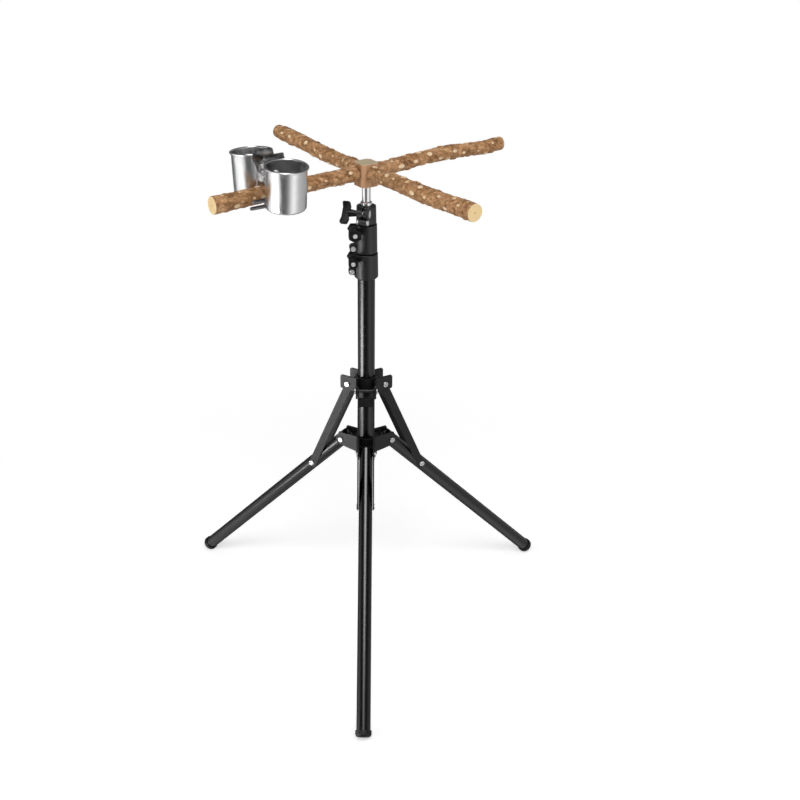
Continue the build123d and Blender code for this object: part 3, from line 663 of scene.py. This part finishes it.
for finish, nodes in (
    (TUBE_BLACK, ("mast_tube", "lower_tube", "middle_tube", "top_tube")),
    (LEG_BLACK, ("leg_1", "leg_2", "leg_3")),
    (STAY_BLACK, ("stay_1", "stay_2", "stay_3")),
    (BRACKET_BLACK, ("leg_bracket", "stay_bracket")),
    (COLLAR_BLACK, ("collar_lower", "collar_middle", "collar_upper")),
    (KNOB_BLACK, ("knob_lower", "knob_middle", "knob_upper")),
    (INSIDE_BLACK, ("mast_plug", "lower_tube_bush", "middle_tube_bush", "top_tube_bush")),
):
    for node in nodes:
        dressed(node, finish)

# Foot caps: only the pad shows below the leg tube, with a narrow lip round the tube's end
LEG_PIVOT_RADIUS = 0.038
LEG_PIVOT_Z = 0.298
FOOT_RADIUS = 0.318
FOOT_Z = 0.008
LEG_DROP = atan2(LEG_PIVOT_Z - FOOT_Z, FOOT_RADIUS - LEG_PIVOT_RADIUS)
LIP_ALONG = 0.397


def foot_cap(number, azimuth):
    """A foot cap with its sleeve cut short, square to its leg."""
    cap = dressed(f"foot_{number}", FOOT_RUBBER)
    outward = Vector((cos(radians(azimuth)), sin(radians(azimuth)), 0))
    along = outward * cos(LEG_DROP) - Vector((0, 0, 1)) * sin(LEG_DROP)
    cut = Vector((0, COLUMN_Y, LEG_PIVOT_Z)) + outward * LEG_PIVOT_RADIUS + along * LIP_ALONG
    edit(cap)
    bpy.ops.mesh.bisect(plane_co=cut, plane_no=along, use_fill=True, clear_inner=True)
    leave_outward()
    smooth(cap, SMOOTH_DEGREES)


for number, azimuth in enumerate(LEG_AZIMUTHS, 1):
    foot_cap(number, azimuth)

# Fasteners, the post, the block, the clip's plates and the cups. The least areas of flat heads are in
# square metres.
PIN_HEAD_AREA = 2.2e-5
RIVET_HEAD_AREA = 1.2e-5

for node in ("leg_pins", "stay_bracket_pins"):
    dressed(node, PIN_STEEL, head_area=PIN_HEAD_AREA)
for node in ("stay_rivets_1", "stay_rivets_2", "stay_rivets_3"):
    dressed(node, ZINC, head_area=RIVET_HEAD_AREA)
for node in (
    "clip_pin",
    "branch_screws",
    "collar_lower_fasteners",
    "collar_middle_fasteners",
    "collar_upper_fasteners",
    "knob_lower_screw",
    "knob_middle_screw",
    "knob_upper_screw",
    "cup_rivets_front",
    "cup_rivets_rear",
):
    dressed(node, ZINC)
for node in ("post", "post_washer"):
    dressed(node, CHROME)
dressed("perch_block", BLOCK_WOOD)
for node in ("clip_plate_front", "clip_plate_rear"):
    dressed(node, CLIP_STEEL, edge_finish=EDGE_STEEL)
for node in ("cup_front", "cup_rear"):
    dressed(node, CUP_STEEL, degrees=40)

# Spring: a coil that stays on the pin, and an arm that goes with each handle
PIN_CENTRE = Vector((-0.124815, -0.023078, 0.735259))
PIN_AXIS = Vector((-0.821149, -0.570714, 0))
TO_FRONT = Vector((-PIN_AXIS.y, PIN_AXIS.x, 0))
COIL_REACH = 4.75 * MM


def spring_part(name, body, keep):
    """The stretch of the spring's wire that keep() names, closed at the cut."""
    piece = cad_copy("clip_spring", name, SPRING_WIRE)
    edit(piece)
    pick(piece, lambda middle, normal: not keep(middle - PIN_CENTRE))
    bpy.ops.mesh.delete(type="FACE")
    bpy.ops.mesh.select_all(action="SELECT")
    bpy.ops.mesh.fill_holes(sides=0)
    leave_outward()
    smooth(piece, degrees=60)
    return finished(piece, name, body, SLOTS["clip_spring"])


def on_coil(place):
    return (place - place.dot(PIN_AXIS) * PIN_AXIS).length < COIL_REACH


def on_arm(side):
    """A test for the wire that has left the coil on that side."""
    return lambda place: not on_coil(place) and place.dot(side) > 0


coil = spring_part("clip_spring_coil", "perch", on_coil)
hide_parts("clip_spring")
spring_part("clip_spring_arm_front", body_of("clip_plate_front"), on_arm(TO_FRONT))
spring_part("clip_spring_arm_rear", body_of("clip_plate_rear"), on_arm(-TO_FRONT))

# Prongs: two fingers at each end of a jaw, along the branch
CLIP_STATION = 0.152
CLIP_AXIS_Z = 0.7143
PRONG_START, PRONG_END = 11.8 * MM, 33.5 * MM
PRONG_RADIUS = 2.6 * MM
PRONG_REACH = 16.5 * MM
PRONG_ANGLES = (-10, -53)
# How far each ring goes on from the last, and its size beside it
PRONG_TIP = ((0.8 * MM, 0.86), (0.5 * MM, 0.6), (0.2 * MM, 0.4))
PRONG_ROOT = (MM, 1.15)


def prong(end, angle):
    """A finger with a rounded tip and a swelling at its root, beside the branch at an angle from level."""
    deselect()
    bpy.ops.mesh.primitive_cylinder_add(
        vertices=12, radius=PRONG_RADIUS, depth=PRONG_END - PRONG_START, rotation=(0, pi / 2, 0)
    )
    finger = bpy.context.active_object
    settle(finger)
    edit(finger)
    pick(finger, lambda middle, normal: normal.x > FACING)
    for onward, size in PRONG_TIP:
        extrude((onward, 0, 0), (1, size, size))
    pick(finger, lambda middle, normal: normal.x < -FACING)
    extrude((-PRONG_ROOT[0], 0, 0), (1, PRONG_ROOT[1], PRONG_ROOT[1]))
    leave()
    modified(finger, "SUBSURF", levels=2, render_levels=2)
    lift = radians(angle)
    middle = end * (PRONG_START + PRONG_END) / 2
    finger.location = (middle, PRONG_REACH * cos(lift), PRONG_REACH * sin(lift))
    finger.rotation_euler = (0, 0, 0 if end > 0 else pi)
    settle(finger)
    return finger


def prongs(name, node, side):
    """All four prongs of one jaw, joined and put in place on its side of the branch."""
    joined, *others = [prong(end, angle) for end in (1, -1) for angle in PRONG_ANGLES]
    join(joined, others)
    joined.rotation_euler = (0, 0, 0 if side > 0 else pi)
    settle(joined)
    joined.location = (CLIP_STATION, 0, CLIP_AXIS_Z)
    settle(joined)
    joined.rotation_euler = (0, 0, radians(BRANCH_AZIMUTHS[2]))
    settle(joined)
    joined.location = (0, COLUMN_Y, 0)
    settle(joined)
    joined.data.materials.clear()
    joined.data.materials.append(PRONG_STEEL)
    smooth(joined, degrees=40)
    finished(joined, name, body_of(node), SLOTS[node])


prongs("clip_prongs_front", "clip_plate_front", 1)
prongs("clip_prongs_rear", "clip_plate_rear", -1)

# Branches. Radii and the rises of the tips are in millimetres, and the stations are shares of the length.
ROOT_RADIUS = 10.3
TIP_RADII = (9.6, 10.6, 11.8, 11.4)
TIP_RISES = (5, 7, -6.5, 4)
STATIONS = (0, 0.09, 0.24, 0.4, 0.56, 0.72, 0.86, 1)
# At each station, the radius as a share of an even taper's
GIRTHS = (
    (1, 0.96, 0.99, 0.93, 1.02, 0.96, 0.99, 1),
    (1, 1.02, 0.97, 1.03, 0.98, 1.03, 1.01, 0.92),
    (1, 1, 0.97, 0.99, 0.98, 0.98, 0.98, 1),
    (1, 0.97, 1.02, 0.98, 1.04, 0.98, 1.01, 1),
)
# How far the middle strays to the side and upwards, as shares of the two radii's sum
SIDES = (
    (0, 0, 0.07, 0.14, 0.08, -0.04, -0.08, 0),
    (0, 0, -0.05, 0.02, 0.1, 0.12, 0.05, 0),
    (0, 0, 0.03, 0.02, 0, 0, 0, 0),
    (0, 0, -0.06, -0.1, 0.02, 0.1, 0.07, 0),
)
RISES = (
    (0, 0, 0.04, 0.1, 0.14, 0.06, -0.02, 0),
    (0, 0, -0.08, -0.06, 0.04, 0.08, 0.06, 0),
    (0, 0, 0.02, 0.02, 0, 0, 0, 0),
    (0, 0, 0.08, 0.04, -0.06, -0.08, -0.02, 0),
)
RING_CORNERS = 28
RINGS = 40
TIP_SHARES = (0.992, 0.998, 1)
# The sawn end: a narrow rim, a ring inside it, and how far up the limb it stays smooth
RIM_WIDTH, RIM_RISE = 0.5 * MM, 0.2 * MM
CUT_INSET = 1.2 * MM
BARE_END = 1.2 * MM
# Bark relief: the kind of texture, its size and the depth that it is pushed to
BARK_RELIEF = (("CLOUDS", 0.011, 0.0018), ("CLOUDS", 0.0055, 0.0013), ("STUCCI", 0.0018, 0.0003))


def limb_at(number, share):
    """The middle and radius of a branch at a share of its length, in its own X, Y and Z."""
    k = max(i for i in range(len(STATIONS) - 1) if STATIONS[i] <= share)
    t = (share - STATIONS[k]) / (STATIONS[k + 1] - STATIONS[k])
    t = t * t * (3 - 2 * t)
    girth, side, rise = (
        table[number][k] * (1 - t) + table[number][k + 1] * t for table in (GIRTHS, SIDES, RISES)
    )
    widths = ROOT_RADIUS + TIP_RADII[number]
    radius = (ROOT_RADIUS + (TIP_RADII[number] - ROOT_RADIUS) * share) * girth
    x = BRANCH_START + (BRANCH_END - BRANCH_START) * share
    return Vector((x, side * widths * MM, (rise * widths + TIP_RISES[number] * share) * MM)), radius * MM


def branch(number):
    """A limb drawn ring by ring and roughened, with a sawn end."""
    shares = (*(i / RINGS for i in range(RINGS)), *TIP_SHARES)
    middle, radius = limb_at(number, 0)
    deselect()
    bpy.ops.mesh.primitive_circle_add(
        vertices=RING_CORNERS, radius=radius, fill_type="NGON", location=middle, rotation=(0, pi / 2, 0)
    )
    limb = bpy.context.active_object
    settle(limb)
    edit(limb)
    for share in shares[1:]:
        following, wide = limb_at(number, share)
        extrude(following - middle, (1, wide / radius, wide / radius), following)
        middle, radius = following, wide
    bpy.ops.mesh.inset(thickness=RIM_WIDTH, depth=RIM_RISE)
    bpy.ops.mesh.inset(thickness=CUT_INSET)
    leave_outward()
    limb.data.materials.append(bark(number + 1))
    limb.data.materials.append(cut_wood(number + 1, limb_at(number, 1)[0].z))
    limb.data.materials.append(KNOT_WOOD)
    for face in limb.data.polygons:
        if face.normal.x > FACING and face.center.x > BRANCH_END - RIM_RISE:
            face.material_index = 1
    modified(limb, "SUBSURF", levels=2, render_levels=2)
    skin = limb.vertex_groups.new(name="skin")
    skin.add([v.index for v in limb.data.vertices if v.co.x < BRANCH_END - BARE_END], 1, "REPLACE")
    for kind, size, depth in BARK_RELIEF:
        grit = bpy.data.textures.new(f"grit_{number}_{kind}_{size}", kind)
        grit.noise_scale = size
        modified(limb, "DISPLACE", texture=grit, strength=depth, mid_level=0.5, vertex_group="skin")
    return limb


# Trimmed spines: the form of one, to the unit that its size scales
SPINE_ROOT, SPINE_TOP, SPINE_TALL = 1.7, 1.25, 1.3
SPINE_RIM = {"thickness": 0.14, "depth": 0.08}
SPINE_HOLLOW = {"thickness": 0.3, "depth": -0.14}
SPINE_PALE_RADIUS, SPINE_PALE_LEVEL = 1.1, 0.55
SPINE_COUNT = 40
SPINE_SEED = 31
# Along the limb: the first one's share of its length, the span of all, and how many places one may stray
SPINE_FIRST, SPINE_SPAN, SPINE_STRAY = 0.035, 0.93, 0.35
# Round the limb, in radians: the turn from one to the next, and how far one may sway
SPINE_TURN, SPINE_SWAY = 2.4, 0.5
# Sizes in millimetres, and the shares of a size that make the length, the height and the sunk part
SPINE_SIZES = (1.3, 3.0)
SPINE_LENGTHS = (1.15, 1.9)
SPINE_HEIGHTS = (0.42, 0.8)
SPINE_SINK = 0.1


def spine(limb):
    """One trimmed spine: a low mound of bark with a pale, slightly sunk heart."""
    deselect()
    bpy.ops.mesh.primitive_cone_add(
        vertices=12, radius1=SPINE_ROOT, radius2=SPINE_TOP, depth=SPINE_TALL, end_fill_type="NGON"
    )
    mound = bpy.context.active_object
    edit(mound)
    pick(mound, lambda middle, normal: normal.z > FACING)
    bpy.ops.mesh.inset(**SPINE_RIM)
    bpy.ops.mesh.inset(**SPINE_HOLLOW)
    leave()
    mound.data.materials.append(limb.data.materials[0])
    mound.data.materials.append(KNOT_WOOD)
    for face in mound.data.polygons:
        away = hypot(face.center.x, face.center.y)
        if face.normal.z > SPINE_PALE_LEVEL and away < SPINE_PALE_RADIUS:
            face.material_index = 1
    modified(mound, "SUBSURF", levels=1, render_levels=1)
    return mound


def spines(limb, number):
    """Sets spines over a limb, in a loose spiral, and joins them to it."""
    chance = Random(SPINE_SEED + number)
    first = spine(limb)
    copies = []
    for i in range(SPINE_COUNT):
        share = SPINE_FIRST + SPINE_SPAN * (i + chance.uniform(-SPINE_STRAY, SPINE_STRAY)) / SPINE_COUNT
        angle = i * SPINE_TURN + chance.uniform(-SPINE_SWAY, SPINE_SWAY)
        middle, radius = limb_at(number, share)
        size = chance.uniform(*SPINE_SIZES) * MM
        copy = bpy.data.objects.new(f"spine_{number}_{i}", first.data.copy())
        bpy.context.scene.collection.objects.link(copy)
        raised = Matrix.Translation((0, 0, radius - SPINE_SINK * size))
        place = Matrix.Translation(middle) @ Matrix.Rotation(angle, 4, "X") @ raised
        length = size * chance.uniform(*SPINE_LENGTHS)
        height = size * chance.uniform(*SPINE_HEIGHTS)
        copy.matrix_world = place @ Matrix.Diagonal((length, size, height, 1))
        settle(copy)
        copies.append(copy)
    bpy.data.objects.remove(first)
    join(limb, copies)


def seat(limb, number):
    """Turns a limb from its own axes to its place on the block."""
    limb.location = (0, COLUMN_Y, BRANCH_AXIS_Z)
    limb.rotation_euler = (0, 0, radians(BRANCH_AZIMUTHS[number]))
    settle(limb)


for number in range(len(BRANCH_AZIMUTHS)):
    limb = branch(number)
    spines(limb, number)
    seat(limb, number)
    smooth(limb, degrees=50)
    finished(limb, f"branch_{number + 1}_limb", "perch", "branch_wood", f"branch_{number + 1}")

# Camera, fitted to points measured in the photograph. Its tilt and turn are in degrees.
CAMERA_PLACE = (0.0202, -1.5361, 1.1725)
CAMERA_TILT, CAMERA_TURN = 63.36, 0.723

deselect()
bpy.ops.object.camera_add(location=CAMERA_PLACE, rotation=(radians(CAMERA_TILT), 0, radians(CAMERA_TURN)))
camera = bpy.context.active_object
camera.data.sensor_width = 36
camera.data.lens = 53.91
camera.data.shift_x = 0.0421
camera.data.clip_start = 0.01
bpy.context.scene.camera = camera

# Floor and light. The floor shows its shading near the middle and plain white further out.
FLOOR_SIZE = 14
FLOOR_GREY = 0.8
FLOOR_GLOW = 0.5
SHADING_TO, WHITE_FROM = 0.5, 0.9


def paper():
    """A pale floor that keeps the object's soft shadow."""
    f = Finish("paper")
    lit = f.add("BsdfDiffuse", {}, {"Color": (FLOOR_GREY, FLOOR_GREY, FLOOR_GREY, 1)})
    bright = f.add("AddShader", {}, {0: lit, 1: f.glow(FLOOR_GLOW)})
    point = f.place()
    x, y = (f.axis(point, letter) for letter in "XY")
    far = f.limited((x * x + y * y) ** 0.5, SHADING_TO, WHITE_FROM)
    seen = f.blend(far, bright, f.glow(1.0))
    f.add_output(f.blend(f.add("LightPath", output="Is Camera Ray"), lit, seen))
    return f.material


bpy.ops.mesh.primitive_plane_add(size=FLOOR_SIZE, location=(0, 0, 0))
floor = bpy.context.active_object
floor.name = "floor"
floor.data.materials.append(paper())
floor.visible_glossy = False


def lamp(name, place, target_z, size, watts):
    """A soft rectangular lamp that faces a point over the middle of the floor."""
    deselect()
    bpy.ops.object.light_add(type="AREA", location=place)
    light = bpy.context.active_object
    light.name = name
    light.rotation_euler = (Vector((0, 0, target_z)) - Vector(place)).to_track_quat("-Z", "Y").to_euler()
    light.data.shape = "RECTANGLE"
    light.data.size, light.data.size_y = size
    light.data.energy = watts
    light.visible_camera = False
    light.visible_glossy = False


lamp("softbox_front_high", place=(0.1, -1.5, 2.4), target_z=0.4, size=(1.4, 1.0), watts=20)
lamp("softbox_left", place=(-1.7, -0.9, 1.3), target_z=0.5, size=(0.7, 1.4), watts=12)
lamp("softbox_right", place=(1.7, -0.6, 1.5), target_z=0.5, size=(0.7, 1.4), watts=9)


def glowing_card(name, x, y, width, low, high, level):
    """An upright card that faces the column and shows only as a stripe in polished and coated surfaces."""
    deselect()
    bpy.ops.mesh.primitive_plane_add(size=1)
    card = bpy.context.active_object
    card.name = name
    card.scale = (width, high - low, 1)
    card.location = (x, y, (low + high) / 2)
    card.rotation_euler = (Vector((0, COLUMN_Y, 0)) - Vector((x, y, 0))).to_track_quat("Z", "Y").to_euler()
    settle(card)
    f = Finish(name)
    f.add_output(f.glow(level))
    f.material.cycles.emission_sampling = "NONE"
    card.data.materials.append(f.material)
    card.visible_camera = False
    card.visible_diffuse = False
    card.visible_shadow = False


# It hangs below the floor, where upright tubes throw the camera's downward rays
glowing_card("stripe_card", x=-1.3, y=-0.69, width=0.85, low=-0.36, high=-0.07, level=22)

# What shiny surfaces see round the object: the direction in degrees, from behind over the left and the
# front to behind, and its brightness
SURROUND = (
    (-180, 0.014),
    (-155, 0.013),
    (-120, 0.010),
    (-106, 0.05),
    (-92, 0.085),
    (-50, 0.085),
    (-43, 0.06),
    (-36, 0.035),
    (-26, 0.010),
    (-8, 0.0075),
    (7, 0.014),
    (20, 0.03),
    (38, 0.078),
    (54, 0.085),
    (66, 0.06),
    (80, 0.043),
    (131, 0.03),
    (180, 0.014),
)
CEILING_DARK = (0.006, 0.006, 0.006)
WHITE = (1.0, 1.0, 1.0)
SHINE_LEVEL = 15.0
SOFT_LEVEL = 0.34
BACKDROP_LEVEL = 1.0

world = bpy.data.worlds.new("studio")
bpy.context.scene.world = world
studio = Finish("studio", world)
outward = studio.add("TexCoord", output="Generated")
x, y, z = (studio.axis(outward, letter) for letter in "XYZ")
front = 0 - y
aside = studio.maths("ABSOLUTE", x)
round_share = studio.maths("ARCTAN2", x, front) / (2 * pi) + 0.5
walls = studio.ramp(round_share, *((turn / 360 + 0.5, (level,) * 3) for turn, level in SURROUND))
surround = studio.mixed(studio.limited(z, low=0.15, high=0.5), walls, CEILING_DARK)
# A window high in front, brighter towards its near edge
high = studio.limited(z, low=0.74, high=0.8)
ahead = studio.limited(front, low=0.1, high=0.2)
within = 1 - studio.limited(aside, low=0.18, high=0.33)
nearer = studio.limited(front, low=0.34, high=0.5)
shine = studio.mixed(high * ahead * within * (0.45 + nearer * 0.55), surround, WHITE)
seen = studio.background(shine, SHINE_LEVEL)
soft = studio.background((*WHITE, 1), SOFT_LEVEL)
white = studio.background((*WHITE, 1), BACKDROP_LEVEL)
lit = studio.blend(studio.add("LightPath", output="Is Glossy Ray"), soft, seen)
studio.add_output(studio.blend(studio.add("LightPath", output="Is Camera Ray"), lit, white), "World")

bpy.context.scene.view_settings.view_transform = "Standard"
